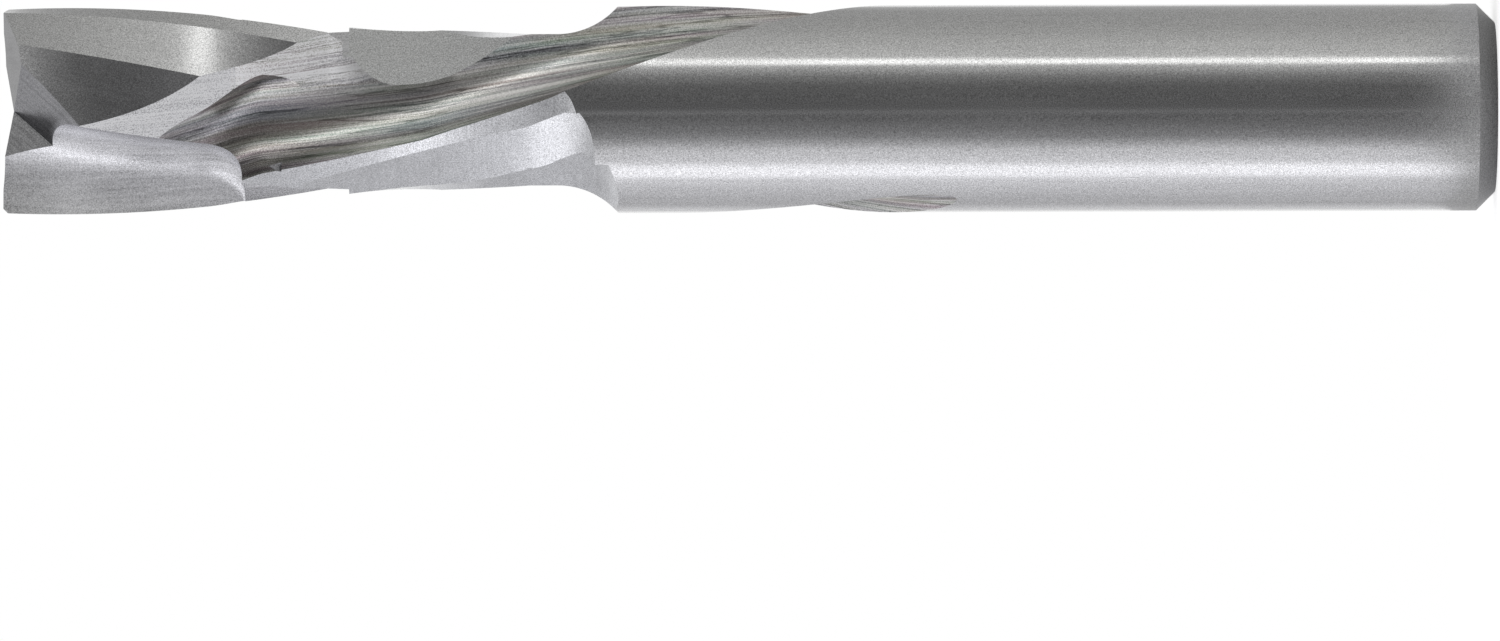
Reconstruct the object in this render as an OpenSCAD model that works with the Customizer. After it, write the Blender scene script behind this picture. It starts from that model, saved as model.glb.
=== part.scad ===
// Solid carbide end mill, two cutting teeth, plain round shank.
// The tool stands on the end of its shank, on the Z axis, with its cutting end up.
// All sizes in millimetres, all angles in degrees.
// The tool is one ground bar of carbide, so it is one node.

/* [Bar] */

// Length from the shank end to the cutting corners
overall_length = 72; // [66:1:90]
// Diameter of the shank, and of the circle that the cutting corners run on
tool_diameter = 10; // [9.8:0.1:10.4]
// Size of the 45 degree bevel at the shank end
shank_bevel = 0.9; // [0.4:0.1:1.4]
// Size of the small bevel on the cutting corners
corner_bevel = 0.25; // [0.1:0.05:0.4]

/* [Cutting teeth] */

// Length of the cutting edges, measured from the tip
cutting_length = 16.5; // [16:0.1:17]
// Length in which a cutting edge makes one turn, right hand
tooth_lead = 114; // [100:1:130]
// Distance from the tip to the place where one cutting edge lies exactly on the X axis
tooth_datum = 2.8; // [2:0.1:4]
// Width of the narrow land behind a cutting edge
land_width = 0.97; // [0.7:0.01:1.2]
// Clearance angle of the narrow land
land_angle = 19; // [14:0.5:24]
// Width of the wide clearance behind the narrow land
clearance_width = 2.65; // [2.2:0.05:2.9]
// Clearance angle of the wide clearance
clearance_angle = 42.5; // [38:0.5:46]
// Angle of the wall behind the wide clearance
heel_angle = 75; // [70:0.5:80]
// Radius of the hollow that is polished into the front of a tooth
face_radius = 3.6; // [3.3:0.05:3.9]
// Rake angle where the hollow meets the cutting edge
rake_angle = 13.3; // [9:0.1:17]
// Distance from the tip to where the hollow starts to draw back from the core
face_reach = 9.7; // [9:0.1:10.5]
// How far the hollow draws back
face_retreat = 1.3; // [1:0.05:1.5]
// Length of the rounded end in which it does so
face_end_length = 1.9; // [1.6:0.1:2.2]

/* [Flutes] */

// Radius of the round flute bottom
flute_radius = 2.81; // [2.6:0.01:3]
// Radius of the core between the flutes in the neck
neck_core = 2.6; // [2.4:0.05:2.9]
// Radius of the core between the flutes at its thinnest, near the teeth
tip_core = 1.8; // [1.7:0.05:2.1]
// Length in which a flute makes one turn, left hand
flute_lead = 87; // [80:1:95]
// Distance from the tip to where a flute starts to run out towards the shank
flute_straight = 21.7; // [20:0.1:23]
// Radius of the long arc on which a flute bottom runs out
run_out_radius = 123; // [100:1:140]
// Distance from the tip to where a flute is deepest and bends
flute_bend = 11.3; // [10.8:0.1:11.8]
// Radius of the arc on which a flute bottom rises from the bend to the tip
tip_rise_radius = 12; // [10:0.5:16]

/* [Flute walls] */

// Tilt of the back wall of a flute at the bend
wall_angle = 38; // [34:1:42]
// Distance of that wall from the axis at the bend
wall_depth = 1.69; // [1.5:0.01:1.9]
// How much further out the wall lies for each millimetre nearer the tip
wall_rise = 0.26; // [0.2:0.01:0.32]
// Tilt of the back wall where it fades out in the neck
wall_end_angle = -14; // [-18:1:-10]
// Distance of the back wall from the axis where it fades out
wall_end_depth = 2.74; // [2.6:0.01:2.9]

// Distance from the tip to where the back wall fades out
wall_end = 20.3; // [19:0.1:21.5]

/* [Neck] */

// Distance from the axis to the narrow facet beside a flute
facet_one = 3.84; // [3.75:0.01:3.9]
// Distance from the axis to the wide facet
facet_two = 3.61; // [3.5:0.01:3.75]
// Distance from the axis to the third facet
facet_three = 3.85; // [3.75:0.01:3.9]
// Distance from the axis to the facet on the back of the neck
facet_four = 3.65; // [3.55:0.01:3.75]
// Radius of the hollow arc from the neck up to the shank
shoulder_radius = 3.9; // [3.5:0.1:4.3]
// Distance from the tip to where the last facet breaks out of the shank
shoulder_place = 29.7; // [29:0.1:32]
// How much sooner each facet breaks out than the one after it
shoulder_step = 1.1; // [0.8:0.1:1.3]
// Distance from the axis to the flat ground behind the end of a tooth
heel_flat = 2.72; // [2.6:0.01:2.9]
// Radius of the round edge of that flat
heel_flat_radius = 9; // [8.5:0.1:9.5]
// Distance from the tip to the middle of that flat
heel_flat_place = 20.1; // [19.6:0.1:20.6]
// How far the flat reaches past its own foot point into the flute
heel_flat_reach = 0.9; // [0.7:0.05:1.1]
// Direction in which that flat faces, turned from the Y axis
heel_flat_facing = 45; // [42:1:48]

/* [Tip] */

// Depth of the hollow of the end, from the corners to the middle
end_dish = 0.5; // [0.3:0.05:0.7]
// Clearance angle of the end edges
end_clearance = 13.7; // [10:0.1:17]
// Fall of the notch floor along the end edge, in millimetres per millimetre
notch_fall = 0.737; // [0.65:0.01:0.8]
// Fall of the notch floor away from the end edge, in millimetres per millimetre
notch_slope = 0.73; // [0.65:0.01:0.8]
// Lean of the notch wall down the tool, in millimetres per millimetre
notch_lean = 0.15; // [0.1:0.01:0.2]
// Lean of the notch wall along the end edge, in millimetres per millimetre
notch_sweep = 0.38; // [0.3:0.01:0.45]

/* [Hidden] */

$fn = 64;
R = tool_diameter / 2;
tip_z = overall_length;
// Room that a grinding cut takes outside the bar, so that no face of it lies on the bar
spare = 1;
// Distance from the tip that the cuts start above it
above = 0.6;
// How much smaller the radius of the body is at the tip than where the shank ends
body_taper = 0.01;
// How far inside the bar the land meets the tooth face, and how far ahead of that edge its cut starts
edge_inset = 0.02;
edge_lead = 0.02;
// How far facet two runs on past the lower end of a tooth
facet_overlap = 2;
// Distance from the tip to where facet one starts, beside the heel of a tooth
facet_one_start = 11.6;
// How far the land, the clearance and the heel wall are cut past their own width, into air
land_past = 0.3;
clearance_past = 1.2;
heel_width = 4.6;
// How much deeper than the bar's surface a flute's run-out is taken, so that it ends in air
run_out_past = 0.12;
// Height where the flutes end, and the end of the shank just below it
flute_end = overall_length - flute_straight - sqrt(2 * run_out_radius * (R + run_out_past - neck_core));
shank_length = flute_end - 0.1;
// Where the inner edge of a flute's wall lies from the axis at the bend, what the lower
// stretch adds to it, and what each millimetre towards the tip takes off it
wall_inner = 0.2;
wall_inner_end = 0.6;
wall_inner_slope = 0.22;
// How far the tooth face is ground past the lower end of a tooth, and a facet past its break-out
face_past = 0.2;
facet_past = 0.4;

// Degrees turned for each millimetre towards the tip
tooth_turn = 360 / tooth_lead;
flute_turn = 360 / flute_lead;

// Direction of a flute where it starts to run out, turned from the side that faces -Y
flute_phase = 17.4;
// Places of the facets round the neck, turned from the middle of a flute
facet_one_place = -36.7;
facet_two_place = -64.7;
facet_three_place = -92;
facet_four_place = 56;
// How far each facet cut reaches to its two sides, a little past its neighbours
facet_one_reach = [3, 1.3];
facet_two_reach = [2.3, 2.3];
facet_three_reach = [2.2, 2.2];
facet_four_reach = [3, 2.6];

function unit(a) = [sin(a), -cos(a)];
function side(a) = [cos(a), sin(a)];

// Height above the shank end of a place that is measured from the tip
function up(from_tip) = tip_z - from_tip;

// Middle of a flute at height z, turned from -Y towards +X
function flute_facing(z) = flute_phase - flute_turn * (z - up(flute_straight));

// Radius of the flute bottom at height z: level core, run-out arc, and rise to the tip
function flute_floor(z) =
    let (down = max(0, up(flute_straight) - z),
         past = max(0, z - up(flute_bend)),
         along = min(1, max(0, (z - up(flute_straight)) / (flute_straight - flute_bend))))
    neck_core - (neck_core - tip_core) * along
        + down * down / (2 * run_out_radius) + past * past / (2 * tip_rise_radius);

// Place of a tooth frame at height z: outward and trailing directions of one cutting edge
function edge_turn(z) = tooth_turn * (z - up(tooth_datum));
function outward(z) = [cos(edge_turn(z)), sin(edge_turn(z))];
function trailing(z) = [sin(edge_turn(z)), -cos(edge_turn(z))];
function in_tooth(z, p) = p[0] * outward(z) + p[1] * trailing(z);

// A point at height z
function lift(p, z) = [p[0], p[1], z];

// Faces between rows of the same number of points, closed at both ends
function skin_faces(n, rows) = concat(
    [[for (i = [0 : n - 1]) i]],
    [[for (i = [n - 1 : -1 : 0]) (rows - 1) * n + i]],
    [for (k = [0 : rows - 2], i = [0 : n - 1])
        [k * n + i, (k + 1) * n + i, (k + 1) * n + (i + 1) % n]],
    [for (k = [0 : rows - 2], i = [0 : n - 1])
        [k * n + i, (k + 1) * n + (i + 1) % n, k * n + (i + 1) % n]]);

// A solid through a list of closed rows, each anticlockwise seen from the tip, lowest first
module skin(rows) {
    polyhedron(points = [for (r = rows) each r],
               faces = skin_faces(len(rows[0]), len(rows)), convexity = 6);
}

// Row of a round-bottomed cut: half circle of radius r about c, open side along the unit vector u
function round_row(c, u, r, z, parts) = concat(
    [for (i = [0 : parts])
        let (a = 90 + 180 * i / parts)
        lift(c + r * cos(a) * u + r * sin(a) * [-u[1], u[0]], z)],
    [lift(c - r * [-u[1], u[0]] + (r + spare) * u, z),
     lift(c + r * [-u[1], u[0]] + (r + spare) * u, z)]);

// Row of a flat cut from a to b, taken out on the side of the unit vector u
function flat_row(a, b, u, out, z) = [lift(a, z), lift(a + out * u, z), lift(b + out * u, z), lift(b, z)];

// The ground bar before any cut: shank bevel, exact shank, body with a hair of taper, corner bevel
module bar() {
    rotate_extrude()
        polygon([[0, 0], [R - shank_bevel, 0], [R, shank_bevel], [R, shank_length],
                 [R - body_taper, tip_z - corner_bevel], [R - body_taper - corner_bevel, tip_z],
                 [0, tip_z]]);
}

// One left hand flute, from its run-out in the shank to the tip
module flute() {
    low = flute_end;
    high = up(0) + above;
    steps = 34;
    skin([for (k = [0 : steps])
        let (z = low + (high - low) * k / steps,
             c = flute_floor(z) + flute_radius,
             u = unit(flute_facing(z)))
        round_row(c * u, u, flute_radius, z, 11)]);
}

// The polished hollow in front of the other tooth, which faces -Y
module tooth_face() {
    low = up(cutting_length) - face_past;
    high = up(0) + above;
    end = up(face_reach + face_end_length);
    // Rows stand close together where the hollow draws back along the round rim of the wheel
    heights = concat([for (k = [0 : 3]) low + (end - low) * k / 4],
                     [for (k = [0 : 5]) up(face_reach) - face_end_length * cos(18 * k)],
                     [for (k = [1 : 9]) up(face_reach) + (high - up(face_reach)) * k / 9]);
    skin([for (z = heights)
        let (t = min(1, max(0, (up(face_reach) - z) / face_end_length)),
             back = face_retreat * (1 - sqrt(1 - t * t)),
             centre = [-(R - face_radius * sin(rake_angle) + back), face_radius * cos(rake_angle)],
             c = in_tooth(z, centre),
             u = c / norm(c))
        round_row(c, u, face_radius, z, 11)]);
}

// One flat cut that follows a tooth: from the point a, for a width, at a clearance angle
module tooth_flat(a, width, angle, out) {
    low = up(cutting_length);
    high = up(0) + above;
    steps = 13;
    along = [-sin(angle), cos(angle)];
    away = [cos(angle), sin(angle)];
    skin([for (k = [0 : steps])
        let (z = low + (high - low) * k / steps)
        flat_row(in_tooth(z, a + width * along), in_tooth(z, a), in_tooth(z, away), out, z)]);
}

// Land, clearance and heel wall behind the cutting edge that lies on the +X side
module tooth_back() {
    edge = [R - edge_inset, 0];
    land_run = [-sin(land_angle), cos(land_angle)];
    land_end = edge + land_width * land_run;
    clearance_end = land_end + clearance_width * [-sin(clearance_angle), cos(clearance_angle)];
    tooth_flat(edge - edge_lead * land_run, edge_lead + land_width + land_past, land_angle, 2);
    tooth_flat(land_end, clearance_width + clearance_past, clearance_angle, 2.5);
    tooth_flat(clearance_end, heel_width, heel_angle, 3.5);
}

// Flat back wall of a flute between the bend and the teeth, in two straight stretches
module flute_wall() {
    bend = up(flute_bend);
    end = up(wall_end);
    high = up(1);
    steps = 14;
    skin([for (k = [0 : steps])
        let (z = end + (high - end) * k / steps,
             t = max(0, (bend - z) / (bend - end)),
             tilt = -(wall_angle + (wall_end_angle - wall_angle) * t),
             depth = wall_depth + (wall_end_depth - wall_depth) * t + wall_rise * max(0, z - bend),
             inner = wall_inner + wall_inner_end * t - wall_inner_slope * max(0, z - bend),
             u = unit(tilt),
             v = side(tilt),
             low_end = (inner - depth * u[0]) / v[0])
        flat_row(depth * u + low_end * v, depth * u + 6 * v, unit(flute_facing(z)), 5, z)]);
}

// One facet of the neck: place round the flute, distance from the axis, break-out, start
module neck_facet(place, distance, reach, exit, start) {
    low = up(exit) - facet_past;
    foot = up(exit) + sqrt(pow(shoulder_radius, 2) - pow(shoulder_radius - (R - distance), 2));
    high = up(start);
    steps = 20;
    skin([for (k = [0 : steps])
        let (z = low + (high - low) * pow(k / steps, 1.5),
             drop = min(shoulder_radius, max(0, foot - z)),
             d = distance + shoulder_radius - sqrt(pow(shoulder_radius, 2) - pow(drop, 2)),
             a = flute_facing(z) + place,
             u = unit(a),
             v = side(a))
        flat_row(d * u - reach[0] * v, d * u + reach[1] * v, u, R - distance + 1.6, z)]);
}

// Flat behind the end of a tooth, ground by the side of a wheel whose rim leaves its round edge
module heel_relief() {
    translate([0, 0, up(heel_flat_place)])
        rotate([0, 0, heel_flat_facing - 90])
            translate([heel_flat, heel_flat_radius - heel_flat_reach, 0])
                rotate([0, 90, 0])
                    cylinder(r = heel_flat_radius, h = 4);
}

// Clearance behind one end edge, and the notch in front of the middle of the other
module end_cut() {
    rise = end_dish / R;
    fall = tan(end_clearance);
    mid = tip_z - end_dish;
    wide = R + 1;
    top = tip_z + 2;
    polyhedron(points = [
        [0, wide, mid + fall * wide], [0, -wide, mid - fall * wide],
        [wide, -wide, mid + rise * wide - fall * wide], [wide, wide, mid + rise * wide + fall * wide],
        [0, wide, top], [0, -wide, top], [wide, -wide, top], [wide, wide, top]],
        faces = [[0, 2, 3], [0, 1, 2], [4, 6, 5], [4, 7, 6], [0, 5, 1], [0, 4, 5],
                 [1, 6, 2], [1, 5, 6], [2, 7, 3], [2, 6, 7], [3, 4, 0], [3, 7, 4]]);
    notch(mid);
}

// Notch with a sloping floor and an upright wall; its floor line starts at the middle of the end
module notch(mid) {
    out = (notch_lean * notch_fall + notch_sweep) / (1 - notch_lean * notch_slope);
    run = [-1, -out, -notch_fall - notch_slope * out];
    near = [0, 0, mid] - 3 * run;
    far = [0, 0, mid] + 6 * run;
    floor_side = [0, -7, -7 * notch_slope];
    wall_side = [0, 7 * notch_lean, 7];
    ends = [for (p = [near, far]) each [p, p + wall_side, p + wall_side + floor_side, p + floor_side]];
    polyhedron(points = ends,
        faces = [[0, 3, 2, 1], [4, 5, 6, 7], [0, 1, 5, 4], [1, 2, 6, 5], [2, 3, 7, 6], [3, 0, 4, 7]]);
}

module milling_cutter() {
    color([0.62, 0.62, 0.63])
        difference() {
            bar();
            for (half = [0, 180])
                rotate([0, 0, half]) {
                    flute();
                    flute_wall();
                    tooth_face();
                    tooth_back();
                    neck_facet(facet_one_place, facet_one, facet_one_reach,
                               shoulder_place - 2 * shoulder_step, facet_one_start);
                    neck_facet(facet_two_place, facet_two, facet_two_reach,
                               shoulder_place - shoulder_step, cutting_length - facet_overlap);
                    neck_facet(facet_three_place, facet_three, facet_three_reach,
                               shoulder_place, cutting_length);
                    neck_facet(facet_four_place, facet_four, facet_four_reach,
                               shoulder_place, cutting_length);
                    heel_relief();
                    end_cut();
                }
        }
}

milling_cutter();
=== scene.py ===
import bpy
import numpy as np
from math import radians
from mathutils import Matrix, Vector


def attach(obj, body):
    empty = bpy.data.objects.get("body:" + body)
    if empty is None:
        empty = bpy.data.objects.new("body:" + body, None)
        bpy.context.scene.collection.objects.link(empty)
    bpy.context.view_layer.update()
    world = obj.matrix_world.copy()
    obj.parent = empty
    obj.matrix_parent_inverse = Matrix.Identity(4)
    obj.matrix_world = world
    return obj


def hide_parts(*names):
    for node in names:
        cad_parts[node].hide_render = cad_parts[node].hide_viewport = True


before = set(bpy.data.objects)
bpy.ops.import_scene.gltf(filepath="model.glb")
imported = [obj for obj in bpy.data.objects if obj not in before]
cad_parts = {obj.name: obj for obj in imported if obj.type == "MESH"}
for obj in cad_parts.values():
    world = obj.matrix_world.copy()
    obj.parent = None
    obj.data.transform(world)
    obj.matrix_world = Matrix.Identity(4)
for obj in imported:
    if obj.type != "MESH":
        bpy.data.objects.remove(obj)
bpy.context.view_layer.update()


# The bar: a rod of sintered carbide, ground round to 10 mm, with a bevel at
# the shank end and a hair-thin bevel on the corners of the cutting end.
# Everything else is ground out of it, so it comes first and stays one piece.
MILLIMETRE = 0.001
LENGTH = 72.0
RADIUS = 5.0
SHANK_BEVEL = 0.9
CORNER_BEVEL = 0.25


def closed_skin(name, rows):
    """Mesh through closed rows of points, in millimetres, lowest row first, with a flat cap at each end.

    rows has the shape (rows, points, 3), each row anticlockwise seen from the tip. The UV map "cut"
    holds millimetres: U is the distance round a row, V the distance from row to row.
    """
    m, n = rows.shape[:2]
    k, i = np.meshgrid(np.arange(m - 1), np.arange(n), indexing="ij")
    j = (i + 1) % n
    sides = np.stack([k * n + i, k * n + j, (k + 1) * n + j, (k + 1) * n + i], axis=-1).reshape(-1, 4)
    mesh = bpy.data.meshes.new(name)
    caps = [np.arange(n)[::-1].tolist(), ((m - 1) * n + np.arange(n)).tolist()]
    mesh.from_pydata((rows.reshape(-1, 3) * MILLIMETRE).tolist(), [], sides.tolist() + caps)
    step = np.linalg.norm(np.roll(rows, -1, axis=1) - rows, axis=2)
    across = np.concatenate([np.zeros((m, 1)), np.cumsum(step, axis=1)], axis=1)
    climb = np.linalg.norm(np.diff(rows, axis=0), axis=2).mean(axis=1)
    along = np.concatenate([[0.0], np.cumsum(climb)])
    u = np.stack([across[k, i], across[k, i + 1], across[k + 1, i + 1], across[k + 1, i]], axis=-1)
    v = np.stack([along[k], along[k], along[k + 1], along[k + 1]], axis=-1)
    ends = np.concatenate([rows[0, ::-1, :2], rows[-1, :, :2]])
    uv = np.concatenate([np.stack([u, v], axis=-1).reshape(-1, 2), ends])
    mesh.uv_layers.new(name="cut").data.foreach_set("uv", uv.astype(np.float32).ravel())
    piece = bpy.data.objects.new(name, mesh)
    bpy.context.scene.collection.objects.link(piece)
    return piece


def raised(rows, z):
    """Rows of points in the XY plane, each row lifted to its own height."""
    return np.concatenate([rows, np.broadcast_to(z[:, None, None], rows.shape[:2] + (1,))], axis=-1)


def turned_rows(profile, around):
    """Rings of a turned part: each (radius, height) of the profile is carried once round the axis."""
    turn = np.linspace(0, 2 * np.pi, around, endpoint=False)
    radius, height = np.asarray(profile, float).T
    ring = np.stack([np.cos(turn), np.sin(turn)], axis=-1)
    return raised(radius[:, None, None] * ring[None], height)


bar_heights = np.linspace(SHANK_BEVEL, LENGTH - CORNER_BEVEL, 40)
bar_profile = [(RADIUS - SHANK_BEVEL, 0.0)] + [(RADIUS, height) for height in bar_heights]
bar_profile += [(RADIUS - CORNER_BEVEL, LENGTH)]
cutter = closed_skin("ground_cutter", turned_rows(bar_profile, 360))


# The flutes: two round-bottomed grooves that a wheel ground on a left-hand
# twist, slower for a while beside the heels. They run out on a long arc in
# the shank, are deepest near the teeth and rise again towards the tip.
FLUTE_RADIUS = 2.81
NECK_CORE, TIP_CORE = 2.6, 1.8
FLUTE_STRAIGHT, FLUTE_BEND = LENGTH - 21.7, LENGTH - 11.3
FLUTE_START_ANGLE, FLUTE_TURN = 17.4, 360 / 87.0
FLUTE_SLOWS, FLUTE_SLOW_END = LENGTH - 20.3, LENGTH - 12.6
FLUTE_SLOW_TURN, FLUTE_CATCH_UP = 2.5, 3.4
RUN_OUT_RADIUS, RUN_OUT_PAST, TIP_RISE_RADIUS = 123.0, 0.12, 7.8
OUTSIDE, PAST_TIP = 1.0, 0.6


def facing(angle):
    """Unit vectors in the XY plane, turned from -Y towards +X by an angle in degrees."""
    return np.stack([np.sin(np.radians(angle)), -np.cos(np.radians(angle))], axis=-1)


def flute_facing(z):
    """Direction of a flute's middle: it turns with height, the left-hand way.

    Start angle - turn x (z - straight), but between two heights only at the slow turn; after them a
    smooth step over the catch-up height gives back the angle that was lost.
    """
    slow = np.clip(z, FLUTE_SLOWS, FLUTE_SLOW_END) - FLUTE_SLOWS
    back = np.clip((z - FLUTE_SLOW_END) / FLUTE_CATCH_UP, 0, 1)
    lost = (FLUTE_TURN - FLUTE_SLOW_TURN) * slow * (1 - back * back * (3 - 2 * back))
    return FLUTE_START_ANGLE - FLUTE_TURN * (z - FLUTE_STRAIGHT) + lost


def flute_floor(z):
    """Radius of the flute's bottom: even fall from neck to tip core, plus an arc at each end.

    Each arc is taken as its parabola, distance past its start squared / (2 x radius).
    """
    down = np.maximum(0, FLUTE_STRAIGHT - z)
    past = np.maximum(0, z - FLUTE_BEND)
    along = np.clip((z - FLUTE_STRAIGHT) / (FLUTE_BEND - FLUTE_STRAIGHT), 0, 1)
    return (NECK_CORE - (NECK_CORE - TIP_CORE) * along + down ** 2 / (2 * RUN_OUT_RADIUS)
            + past ** 2 / (2 * TIP_RISE_RADIUS))


def round_rows(centre, outwards, radius, z, parts):
    """Half circles about centre, open on the outward side, squared off outside the bar."""
    left = np.stack([-outwards[:, 1], outwards[:, 0]], axis=-1)
    turn = np.radians(np.linspace(90, 270, parts + 1))[None, :, None]
    arc = centre[:, None] + radius * (np.cos(turn) * outwards[:, None] + np.sin(turn) * left[:, None])
    far = centre + (radius + OUTSIDE) * outwards
    rows = np.concatenate([arc, (far - radius * left)[:, None], (far + radius * left)[:, None]], axis=1)
    return raised(rows, z)


flute_low = FLUTE_STRAIGHT - np.sqrt(2 * RUN_OUT_RADIUS * (RADIUS + RUN_OUT_PAST - NECK_CORE))
z = np.linspace(flute_low, LENGTH + PAST_TIP, 180)
out = facing(flute_facing(z))
flute_rows = round_rows((flute_floor(z) + FLUTE_RADIUS)[:, None] * out, out, FLUTE_RADIUS, z, 48)
cuts = [("flute", "flute_grind", flute_rows)]


# The back walls of the flutes: from the bend to the tip the wheel swung
# steeply, which left a flat, twisted wall with the grinding lines bent. Below
# the bend it swung back about a line on the wall, and left the flank.
WALL_ANGLE, FLANK_ANGLE, FLANK_SWING = 30.0, -14.0, 2.5
WALL_RISE = 0.21
FLANK_END, WALL_TOP = LENGTH - 20.3, LENGTH - 1
PIVOT_X, PIVOT_Y, PIVOT_DRIFT_X, PIVOT_DRIFT_Y = 1.0, -2.95, 1.5, 0.75
FOOT, FOOT_DRIFT, FOOT_BACK = 0.2, 0.6, 0.5
FLANK_ROWS, WALL_ROWS = 60, 50
WALL_REACH, WALL_DEPTH = 6, 5


def flat_rows(a, b, outwards, depth, z):
    """Quadrilaterals: the side from b to a lies on the tool, the other depth further outwards."""
    return raised(np.stack([b, a, a + depth * outwards, b + depth * outwards], axis=1), z)


# The tilt goes from the wall's angle to the flank's as (share of the way down) ^ swing. The pivot
# drifts outwards meanwhile, and the foot is where the wall meets the flute, given by its X.
z = np.concatenate([np.linspace(FLANK_END, FLUTE_BEND, FLANK_ROWS),
                    np.linspace(FLUTE_BEND, WALL_TOP, WALL_ROWS)[1:]])
above_bend = np.maximum(0, z - FLUTE_BEND)
below = np.maximum(0, (FLUTE_BEND - z) / (FLUTE_BEND - FLANK_END))
tilt = -(WALL_ANGLE + (FLANK_ANGLE - WALL_ANGLE) * below ** FLANK_SWING)
wall_out, wall_side = facing(tilt), facing(tilt + 90)
pivot = np.stack([PIVOT_X + PIVOT_DRIFT_X * np.minimum(1, 2 * below),
                  PIVOT_Y + PIVOT_DRIFT_Y * below ** 2], axis=-1)
depth = (pivot * wall_out).sum(axis=1) + WALL_RISE * above_bend
foot = FOOT + FOOT_DRIFT * below + FOOT_DRIFT * np.minimum(1, 3 * below) - FOOT_BACK * above_bend
low_end = (foot - depth * wall_out[:, 0]) / wall_side[:, 0]
wall_foot = depth[:, None] * wall_out
wall_rows = flat_rows(wall_foot + low_end[:, None] * wall_side, wall_foot + WALL_REACH * wall_side,
                      facing(flute_facing(z)), WALL_DEPTH, z)
# Flank and wall overlap by one row, so that no thin skin is left between them.
cuts.append(("flute_side", "flank_grind", wall_rows[:FLANK_ROWS + 1]))
cuts.append(("flute_wall", "wall_grind", wall_rows[FLANK_ROWS - 1:]))


# The tooth faces: a hollow in front of each cutting edge, polished along a
# right-hand twist. It ends round, where the wheel's rim left the core.
FACE_RADIUS = 3.6
RAKE = radians(13.3)
CUTTING_END = LENGTH - 16.5
FACE_REACH, FACE_RETREAT = LENGTH - 9.7, 1.3
FACE_END_LENGTH, FACE_START = 1.9, 0.2
TOOTH_TURN = 360 / 114.0
TOOTH_DATUM = LENGTH - 2.8


def in_tooth(z, outward, trailing):
    """Points given by their distances outward and behind one cutting edge, which turns with height."""
    turn = TOOTH_TURN * (z - TOOTH_DATUM)
    return (np.asarray(outward)[..., None] * facing(turn + 90)
            + np.asarray(trailing)[..., None] * facing(turn))


face_end = FACE_REACH - FACE_END_LENGTH
z = np.concatenate([np.linspace(CUTTING_END - FACE_START, face_end, 20)[:-1],
                    FACE_REACH - FACE_END_LENGTH * np.cos(np.linspace(0, np.pi / 2, 24)),
                    np.linspace(FACE_REACH, LENGTH + PAST_TIP, 60)[1:]])
t = np.clip((FACE_REACH - z) / FACE_END_LENGTH, 0, 1)
back = FACE_RETREAT * (1 - np.sqrt(1 - t * t))
centre = in_tooth(z, -(RADIUS - FACE_RADIUS * np.sin(RAKE) + back), FACE_RADIUS * np.cos(RAKE) + 0 * z)
out = centre / np.linalg.norm(centre, axis=1)[:, None]
cuts.append(("tooth_face", "polished_face", round_rows(centre, out, FACE_RADIUS, z, 56)))


# The backs of the teeth: a narrow land right behind the edge, a wide
# clearance behind that, and a steep heel wall down to the flute. Each is a
# strip, given by its width in millimetres and its angle in degrees.
EDGE_INSET, EDGE_LEAD = 0.02, 0.02
LAND, LAND_OVERLAP, LAND_DEPTH = (0.97, 19.0), 0.3, 2
CLEARANCE, CLEARANCE_OVERLAP, CLEARANCE_DEPTH = (2.65, 42.5), 1.2, 2.5
HEEL, HEEL_DEPTH, HEEL_START = (3.8, 75.0), 3.5, CUTTING_END + 3


def past(start, strip):
    """The point where a strip that begins at start ends: start less width x sine, plus width x cosine."""
    width, angle = strip
    return start[0] - width * np.sin(np.radians(angle)), start[1] + width * np.cos(np.radians(angle))


def tooth_flat(start, strip, depth, low=CUTTING_END):
    """A strip behind the cutting edge, from a start point, carried up the tooth from the height low."""
    z = np.linspace(low, LENGTH + PAST_TIP, 90)
    one = np.ones_like(z)
    end = past(start, strip)
    lean = np.radians(strip[1])
    near = in_tooth(z, start[0] * one, start[1] * one)
    far = in_tooth(z, end[0] * one, end[1] * one)
    return flat_rows(far, near, in_tooth(z, np.cos(lean) * one, np.sin(lean) * one), depth, z)


edge = (RADIUS - EDGE_INSET, 0.0)
land_end = past(edge, LAND)
clearance_end = past(land_end, CLEARANCE)
ahead = past(edge, (-EDGE_LEAD, LAND[1]))
land_strip = (EDGE_LEAD + LAND[0] + LAND_OVERLAP, LAND[1])
clearance_strip = (CLEARANCE[0] + CLEARANCE_OVERLAP, CLEARANCE[1])
cuts.append(("land", "relief_grind", tooth_flat(ahead, land_strip, LAND_DEPTH)))
cuts.append(("clearance", "relief_grind", tooth_flat(land_end, clearance_strip, CLEARANCE_DEPTH)))
cuts.append(("heel_wall", "heel_grind", tooth_flat(clearance_end, HEEL, HEEL_DEPTH, HEEL_START)))


# The neck: four flats to each half turn, ground beside the flutes. Each has
# its own slow twist and climbs to the shank on a hollow arc, where the wheel
# was lifted out and the twist changed.
SHOULDER_RADIUS = 3.9
SHOULDER = LENGTH - 29.7
NECK_DATUM = LENGTH - 20.0
NECK_RUN_IN, NECK_OUTSIDE = 0.4, 1.9
NECK_FACETS = [
    dict(angle=-37.9, twist=-3.1, distance=4.12, slope=0.02, reach=(3.0, 2.2),
         leave=SHOULDER + 1.9, start=LENGTH - 11.45),
    dict(angle=-57.5, twist=-1.6, distance=3.69, slope=0.088, reach=(2.6, 2.6),
         leave=SHOULDER + 1.1, start=CUTTING_END + 2.0, hold=LENGTH - 22.0, late=-3.5),
    dict(angle=-81.6, twist=-4.14, distance=3.80, slope=0.045, reach=(2.2, 2.2),
         leave=SHOULDER, start=CUTTING_END + 0.05, hold=LENGTH - 25.5),
    dict(angle=66.4, twist=-4.14, distance=3.65, slope=0.0, reach=(3.0, 2.6),
         leave=SHOULDER, start=CUTTING_END + 0.05, hold=LENGTH - 25.5),
]


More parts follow.
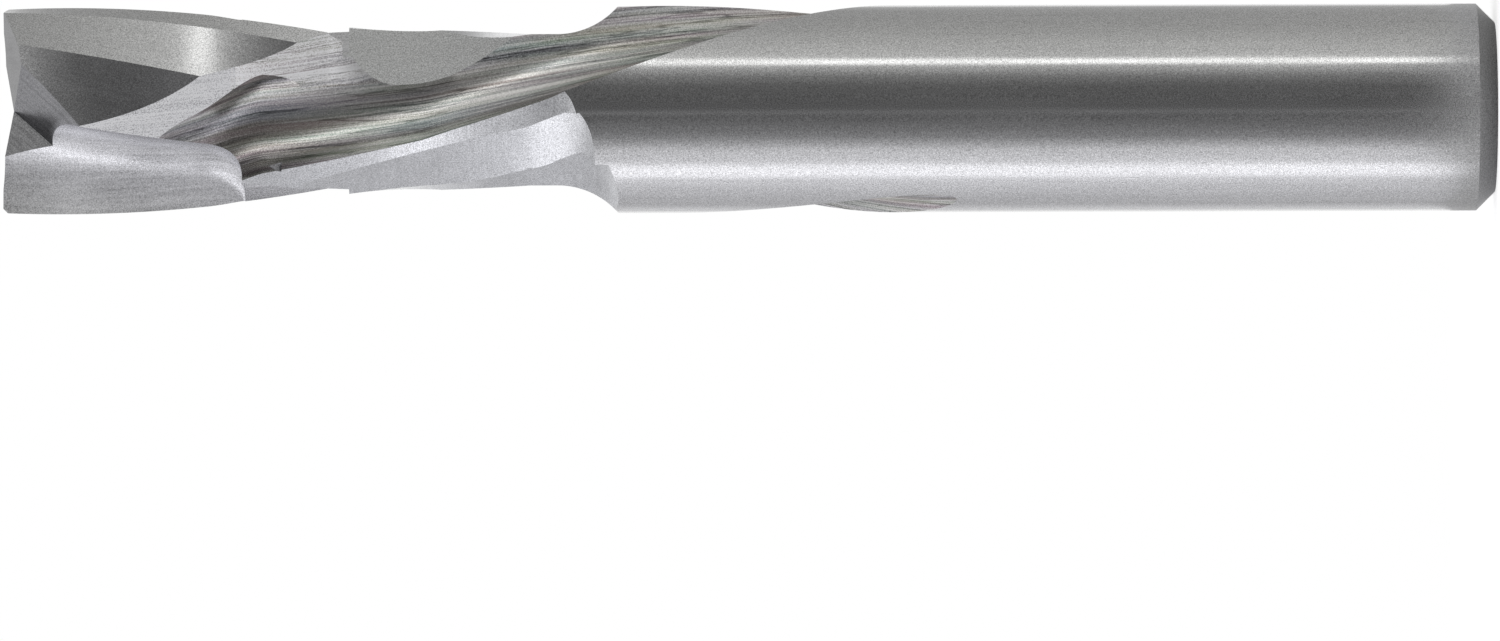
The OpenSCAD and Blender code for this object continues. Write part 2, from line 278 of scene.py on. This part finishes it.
def neck_rows(angle, twist, distance, slope, reach, leave, start, hold=0.0, late=0.0):
    """A flat whose angle and distance change evenly with height; near the shank it leaves on a circular arc.

    angle + twist x (z - datum) degrees, at distance + slope x (z - datum) from the axis, and reach to
    each side. Below the height hold its distance stays and it turns by late degrees a millimetre. The
    rows lie closer together on the arc. Each flat starts a little inside the cut above it, so that no
    thin skin is left between the two.
    """
    depth = distance + slope * (max(leave + 3, hold) - NECK_DATUM)
    foot = leave + np.sqrt(SHOULDER_RADIUS ** 2 - (SHOULDER_RADIUS - RADIUS + depth) ** 2)
    z = leave - NECK_RUN_IN + (start - leave + NECK_RUN_IN) * np.linspace(0, 1, 110) ** 1.3
    drop = np.clip(foot - z, 0, SHOULDER_RADIUS - 0.001)
    flat = distance + slope * (np.maximum(z, max(foot, hold)) - NECK_DATUM)
    d = (flat + SHOULDER_RADIUS - np.sqrt(SHOULDER_RADIUS ** 2 - drop ** 2))[:, None]
    a = angle + twist * (np.maximum(z, hold) - NECK_DATUM) + late * np.minimum(0, z - hold)
    out, side = facing(a), facing(a + 90)
    return flat_rows(d * out - reach[0] * side, d * out + reach[1] * side, out,
                     RADIUS - distance + NECK_OUTSIDE, z)


for number, facet in enumerate(NECK_FACETS):
    cuts.append((f"neck_facet_{number + 1}", "neck_grind", neck_rows(**facet)))


# The heel flats: behind the end of each tooth the rim of a small wheel, held
# askew, took the back off the neck; it left a slight hollow with a round edge.
HEEL_FLAT_ANGLE = 45.0
HEEL_FLAT, HEEL_FLAT_DEEPEST, HEEL_FLAT_WHEEL = 2.52, LENGTH - 19.0, 11.5
HEEL_FLAT_PLACE, HEEL_FLAT_HALF = LENGTH - 20.5, 4.4
HEEL_FLAT_LOW_EDGE, HEEL_FLAT_ROUND = 1.02, 2.2
HEEL_FLAT_REACH = 6

lean = np.linspace(-np.pi / 2, np.pi / 2, 90)
z = HEEL_FLAT_PLACE + HEEL_FLAT_HALF * np.sin(lean)
depth = (HEEL_FLAT + (z - HEEL_FLAT_DEEPEST) ** 2 / (2 * HEEL_FLAT_WHEEL))[:, None]
low_edge = (HEEL_FLAT_ROUND * (1 - np.cos(lean)) - HEEL_FLAT_LOW_EDGE)[:, None]
out, side = facing(HEEL_FLAT_ANGLE + 0 * z), facing(HEEL_FLAT_ANGLE + 90 + 0 * z)
cuts.append(("heel_flat", "heel_flat_grind", flat_rows(
    depth * out + low_edge * side, depth * out + HEEL_FLAT_REACH * side, out, HEEL_FLAT_REACH, z)))


# The end: dished towards the middle, with a clearance behind each end edge
# and a notch in front of the middle of the other edge.
END_DISH = 0.5
END_FALL = np.tan(radians(13.7))
NOTCH_FALL, NOTCH_SLOPE = 0.737, 0.73
NOTCH_LEAN, NOTCH_SWEEP = 0.15, 0.38
NOTCH_BLOCK, NOTCH_ALONG = 7, (6, -3)


def block_rows(corners):
    """Two rows of four corners, for a cut with flat sides."""
    return np.array(corners, float).reshape(2, 4, 3)


middle = LENGTH - END_DISH
wide, rise = RADIUS + 1, END_DISH / RADIUS
corners = [(0, -wide), (wide, -wide), (wide, wide), (0, wide)]
slanted = [(x, y, middle + rise * x + END_FALL * y) for x, y in corners]
cuts.append(("end_clearance", "end_grind", block_rows(slanted + [(x, y, LENGTH + 2) for x, y in corners])))

notch_out = (NOTCH_LEAN * NOTCH_FALL + NOTCH_SWEEP) / (1 - NOTCH_LEAN * NOTCH_SLOPE)
run = np.array([-1, -notch_out, -NOTCH_FALL - NOTCH_SLOPE * notch_out])
down = np.array([0, -NOTCH_BLOCK, -NOTCH_BLOCK * NOTCH_SLOPE])
up = np.array([0, NOTCH_BLOCK * NOTCH_LEAN, NOTCH_BLOCK])
ends = [np.array([0, 0, middle]) + run * along for along in NOTCH_ALONG]
cuts.append(("notch", "notch_grind", block_rows([p + q for p in ends for q in (0 * up, up, up + down, down)])))


# Grinding: every cut is made twice, half a turn apart, and taken out of the
# bar. What a cut leaves keeps the finish and the lie of its wheel.
SHARP_EDGE = radians(9)


def half_turn(rows, half):
    """The same rows, turned by half a turn about Z for the second cut."""
    return rows * np.array([-1, -1, 1]) if half else rows


def material_named(name):
    """A new material that uses nodes, with its first nodes removed."""
    made = bpy.data.materials.new(name)
    made.use_nodes = True
    made.node_tree.nodes.clear()
    return made


finish_names = dict.fromkeys(["ground_shank"] + [finish for _, finish, _ in cuts])
finishes = {name: material_named(name) for name in finish_names}
for material in finishes.values():
    cutter.data.materials.append(material)
wheels = []
for name, finish, rows in cuts:
    for half in (0, 1):
        wheel = closed_skin(f"{name}_wheel_{half}", half_turn(rows, half))
        wheel.data.materials.append(finishes[finish])
        wheels.append(wheel)
        take_out = cutter.modifiers.new(wheel.name, "BOOLEAN")
        take_out.operation = "DIFFERENCE"
        take_out.solver = "MANIFOLD"
        take_out.material_mode = "TRANSFER"
        take_out.object = wheel
shown = bpy.context.evaluated_depsgraph_get()
ground = bpy.data.meshes.new_from_object(cutter.evaluated_get(shown), depsgraph=shown)
cutter.modifiers.clear()
cutter.data = ground
for wheel in wheels:
    bpy.data.objects.remove(wheel)
ground.shade_smooth()
ground.set_sharp_from_angle(angle=SHARP_EDGE)
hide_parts("milling_cutter")
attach(cutter, "root")


# The finish of the ground carbide: a grey metal whose shine is drawn out by
# the wheel's lines, which run along each cut and differ from cut to cut. The
# carbide's own grain shows as a fine speckle, the same all over. The tones of
# the flank and the wall are painted light, far brighter than the carbide, and
# those of the end and the notch are painted shade, far darker.
GRAIN_SCALE, GRAIN_LEVEL, GRAIN_HEIGHT = 17000.0, 1.6, 0.2
SEAM_SHARPNESS = 45.0
ROUGH_SPREAD = 0.15
DARKEST = 0.05


class Socket:
    """A node's output that takes part in sums: each sum adds a Math node, or Vector Math for vectors."""

    def __init__(self, tree, output):
        self.tree, self.output = tree, output

    def math(self, operation, *values):
        """One operation on values that are sockets or numbers."""
        vector = any(isinstance(value, Socket) and value.output.type == "VECTOR" for value in values)
        kind = "ShaderNodeVectorMath" if vector else "ShaderNodeMath"
        return node(self.tree, kind, {"operation": operation}, dict(enumerate(values)))

    def __add__(self, other): return self.math("ADD", self, other)
    def __radd__(self, other): return self.math("ADD", other, self)
    def __sub__(self, other): return self.math("SUBTRACT", self, other)
    def __rsub__(self, other): return self.math("SUBTRACT", other, self)
    def __mul__(self, other): return self.math("MULTIPLY", self, other)
    def __rmul__(self, other): return self.math("MULTIPLY", other, self)
    def __truediv__(self, other): return self.math("DIVIDE", self, other)

    def beside(self, name):
        """Another output of the same node."""
        return Socket(self.tree, self.output.node.outputs[name])

    @classmethod
    def node(cls, tree, kind, settings={}, inputs={}, output=0):
        """One node: its settings first, then a value or a link for each named or numbered input.

        The setting "points" gives the places of a curve's points, which straight lines join.
        """
        made = tree.nodes.new(kind)
        for name, value in settings.items():
            if name == "points":
                points = made.mapping.curves[0].points
                while len(points) < len(value):
                    points.new(0.5, 0.5)
                for point, spot in zip(points, value):
                    point.location, point.handle_type = spot, "VECTOR"
                made.mapping.update()
            else:
                setattr(made, name, value)
        for name, value in inputs.items():
            if isinstance(value, Socket):
                tree.links.new(value.output, made.inputs[name])
            else:
                made.inputs[name].default_value = value
        return cls(tree, made.outputs[output]) if len(made.outputs) else None


node = Socket.node


def lines(tree, place, width, length, detail=3.0, output=0):
    """Noise drawn out along V: features of a width across the cut and a length along it, in millimetres."""
    return node(tree, "ShaderNodeTexNoise", {}, {
        "Vector": place * (1 / width, 1 / length, 1), "Scale": 1.0, "Detail": detail,
        "Roughness": 0.55}, output)


def carbide(finish, tone, rough, width, length, depth, streak, scratch=0.0, cloud=0.0, tinge=0.0, turned=0):
    """Ground carbide: what the wheel left, as lines of a width and a length and a depth in millimetres.

    tone x (1 + streak (fine + broad - 1) + cloud (soft - 1/2) + grain), darkened by scratch along thin
    seams, where a noise of its own passes its middle, and tinged by the colours that fine lines split
    the light into. The lines are turned on the surface by turned degrees.
    """
    tree = finishes[finish].node_tree
    place = node(tree, "ShaderNodeUVMap", {"uv_map": "cut"})
    if turned:
        place = node(tree, "ShaderNodeMapping", {}, {"Vector": place, "Rotation": (0, 0, radians(turned))})
    fine = lines(tree, place, width, length)
    broad = lines(tree, place, 4 * width, 2 * length, 2.0)
    soft = lines(tree, place, 14 * width, 0.8 * length, 1.0)
    seam = lines(tree, place, 5 * width, 1.6 * length, 4.0) - 0.5
    apart = seam.math("ABSOLUTE", seam) * SEAM_SHARPNESS
    seam = 1 - apart.math("MINIMUM", apart, 1.0)
    grain = node(tree, "ShaderNodeTexNoise", {}, {
        "Vector": node(tree, "ShaderNodeTexCoord", output=3), "Scale": GRAIN_SCALE, "Detail": 1.0}) - 0.5
    level = 1 + (fine + broad - 1.0) * streak + (soft - 0.5) * cloud + grain * GRAIN_LEVEL
    level = level * (1 - seam * scratch)
    level = level.math("MAXIMUM", level, DARKEST)
    grey = node(tree, "ShaderNodeCombineColor", {}, {0: level, 1: level, 2: level})
    paint = node(tree, "ShaderNodeMix", {"data_type": "RGBA", "blend_type": "MULTIPLY"},
                 {"Factor": 1.0, 6: (*tone, 1), 7: grey}, output=2)
    if tinge:
        colours = lines(tree, place, 6 * width, 1.2 * length, 2.0, output=1)
        paint = node(tree, "ShaderNodeMix", {"data_type": "RGBA", "blend_type": "OVERLAY"},
                     {"Factor": tinge, 6: paint, 7: colours}, output=2)
    bump = node(tree, "ShaderNodeBump", {}, {
        "Strength": 1.0, "Distance": MILLIMETRE * depth,
        "Height": fine + broad * 1.5 + grain * GRAIN_HEIGHT})
    surface = node(tree, "ShaderNodeBsdfPrincipled", {}, {
        "Base Color": paint, "Metallic": 1.0, "Roughness": (soft - 0.5) * ROUGH_SPREAD + rough,
        "Normal": bump})
    node(tree, "ShaderNodeOutputMaterial", {}, {"Surface": surface})


carbide("ground_shank", (0.62, 0.62, 0.625), rough=0.13, width=0.20, length=9.0, depth=0.0002, streak=0.16)
carbide("flute_grind", (0.54, 0.53, 0.52), rough=0.24, width=0.10, length=9.0, depth=0.004, streak=2.2,
        scratch=0.6, cloud=0.5, tinge=0.22)
# The flank's tone is painted light: far brighter than the carbide, standing in for light it does not catch.
carbide("flank_grind", (0.92, 0.91, 0.90), rough=0.26, width=0.10, length=9.0, depth=0.004, streak=1.7,
        scratch=0.5, cloud=0.3, tinge=0.15)
# The wall's tone is painted light too: far brighter than the carbide, standing in for light it does not catch.
carbide("wall_grind", (0.95, 0.95, 0.96), rough=0.24, width=0.10, length=9.0, depth=0.002, streak=0.7,
        scratch=0.15)
carbide("polished_face", (0.66, 0.66, 0.675), rough=0.24, width=0.22, length=4.0, depth=0.003, streak=0.6,
        cloud=0.7)
carbide("relief_grind", (0.60, 0.60, 0.605), rough=0.18, width=0.15, length=4.0, depth=0.0004, streak=0.12)
carbide("heel_grind", (0.56, 0.56, 0.57), rough=0.20, width=0.20, length=3.0, depth=0.0006, streak=0.25,
        cloud=0.2)
carbide("neck_grind", (0.64, 0.645, 0.66), rough=0.20, width=0.12, length=2.0, depth=0.0010, streak=0.22,
        cloud=0.2, turned=90)
carbide("heel_flat_grind", (0.60, 0.605, 0.61), rough=0.22, width=0.12, length=6.0, depth=0.0006, streak=0.12)
# The end's tone is painted shade: far darker than the carbide, which is the same here as on the shank.
carbide("end_grind", (0.22, 0.22, 0.225), rough=0.22, width=0.12, length=5.0, depth=0.0010, streak=0.35,
        scratch=0.15)
# The notch's tone is painted shade: darker than the carbide, as shade falls in the recess.
carbide("notch_grind", (0.34, 0.34, 0.35), rough=0.25, width=0.10, length=5.0, depth=0.0015, streak=0.6,
        scratch=0.20)


# The floor: a pale sheet under the shank's end, for the tool to stand on. To
# the camera it glows up to white, less what the tool's shadow takes away.
FLOOR_HALF = 0.05
FLOOR_GLOW = 0.62

floor_mesh = bpy.data.meshes.new("floor")
floor_corners = [(x * FLOOR_HALF, y * FLOOR_HALF, 0) for x, y in ((-1, -1), (1, -1), (1, 1), (-1, 1))]
floor_mesh.from_pydata(floor_corners, [], [(0, 1, 2, 3)])
floor_sheet = bpy.data.objects.new("floor", floor_mesh)
bpy.context.scene.collection.objects.link(floor_sheet)
floor_paint = material_named("pale_floor")
tree = floor_paint.node_tree
sheet = node(tree, "ShaderNodeBsdfDiffuse", {}, {"Color": (0.8, 0.8, 0.8, 1)})
glow = node(tree, "ShaderNodeEmission", {}, {"Color": (1, 1, 1, 1), "Strength": FLOOR_GLOW})
dark = node(tree, "ShaderNodeEmission", {}, {"Color": (0, 0, 0, 1), "Strength": 0.0})
seen = node(tree, "ShaderNodeMixShader", {}, {0: node(tree, "ShaderNodeLightPath"), 1: dark, 2: glow})
node(tree, "ShaderNodeOutputMaterial", {}, {
    "Surface": node(tree, "ShaderNodeAddShader", {}, {0: sheet, 1: seen})})
floor_mesh.materials.append(floor_paint)


# The studio: a white surround, and round the tool a soft tent, given by its
# brightness at angles about the tool. A grey card lies past the shank's end.
# Metal sees the surround's white where it mirrors what lies behind the tool.
TENT = [
    (-180, 0.62), (-150, 0.80), (-134, 0.58), (-118, 0.64), (-100, 0.78), (-86, 0.92), (-80, 1.35),
    (-70, 1.38), (-62, 0.90), (-48, 0.78), (-40, 0.52), (-32, 0.30), (-20, 0.21), (-8, 0.14), (-4.5, 0.24),
    (-1, 0.13), (24, 0.135), (36, 0.25), (44, 0.46), (49, 0.52), (51, 1.6), (55, 1.6), (58, 0.66),
    (76, 0.58), (90, 0.50), (112, 0.42), (140, 0.42), (180, 0.62),
]
TENT_TOP = 2.0
TENT_BLUE, TENT_BLUE_BELOW = 1.005, 0.03
BEHIND_FROM, BEHIND_TO = 0.90, 0.97
CARD, CARD_FROM, CARD_TO = 0.5, -0.10, -0.28

world = bpy.data.worlds.new("studio")
bpy.context.scene.world = world
world.use_nodes = True
tree = world.node_tree
tree.nodes.clear()
look = node(tree, "ShaderNodeTexCoord", output=0)
look_x = node(tree, "ShaderNodeSeparateXYZ", {}, {0: look})
look_y, look_z = look_x.beside("Y"), look_x.beside("Z")
angle = look_x.math("ARCTAN2", look_x, 0.0 - look_y)
tent_points = [(degrees / 360 + 0.5, strength / TENT_TOP) for degrees, strength in TENT]
tent = node(tree, "ShaderNodeFloatCurve", {"points": tent_points}, {"Value": angle / (2 * np.pi) + 0.5})
camera_ray = node(tree, "ShaderNodeLightPath")
glossy_ray, through_ray = camera_ray.beside("Is Glossy Ray"), camera_ray.beside("Is Transmission Ray")
behind = node(tree, "ShaderNodeMapRange", {"interpolation_type": "SMOOTHSTEP"},
              {"Value": look_y, "From Min": BEHIND_FROM, "From Max": BEHIND_TO})
white = camera_ray.math("MINIMUM", camera_ray + through_ray + glossy_ray * behind, 1.0)
card = node(tree, "ShaderNodeMapRange", {"interpolation_type": "SMOOTHSTEP"},
            {"Value": look_z, "From Min": CARD_FROM, "From Max": CARD_TO})
tent = tent * TENT_TOP
tent = tent + (CARD - tent) * card
shades = [tent, tent, tent * (TENT_BLUE - look_x * TENT_BLUE_BELOW)]
levels = [shade + (1 - shade) * white for shade in shades]
sky = node(tree, "ShaderNodeBackground", {}, {
    "Color": node(tree, "ShaderNodeCombineColor", {}, dict(enumerate(levels))), "Strength": 1.0})
node(tree, "ShaderNodeOutputWorld", {}, {"Surface": sky})


# The camera: level with the middle of the tool, square to its side and turned
# a quarter on its own axis, so that the tool lies across the top of the frame.
LENS, SENSOR = 400, 36
FRAME_WIDTH, FRAME_HEIGHT = 1500, 641
AXIS_ROW, SHANK_END_COLUMN = 109.25, 1495
PIXEL = 0.0483e-3  # what one pixel of the frame covers at the tool, in metres
ROLL = radians(0.173)

camera_data = bpy.data.cameras.new("camera")
camera_data.lens = LENS
camera_data.clip_end = 10
camera = bpy.data.objects.new("camera", camera_data)
bpy.context.scene.collection.objects.link(camera)
place = Vector(((AXIS_ROW - FRAME_HEIGHT / 2) * PIXEL, -LENS / SENSOR * FRAME_WIDTH * PIXEL,
                (SHANK_END_COLUMN - FRAME_WIDTH / 2) * PIXEL))
right = Vector((0, 0, -1)) * np.cos(ROLL) + Vector((-1, 0, 0)) * np.sin(ROLL)
top = Vector((1, 0, 0)) * np.cos(ROLL) + Vector((0, 0, -1)) * np.sin(ROLL)
turn = Matrix((right, top, right.cross(top))).transposed().to_4x4()
camera.matrix_world = Matrix.Translation(place) @ turn
bpy.context.scene.camera = camera
bpy.context.scene.view_settings.view_transform = "Standard"
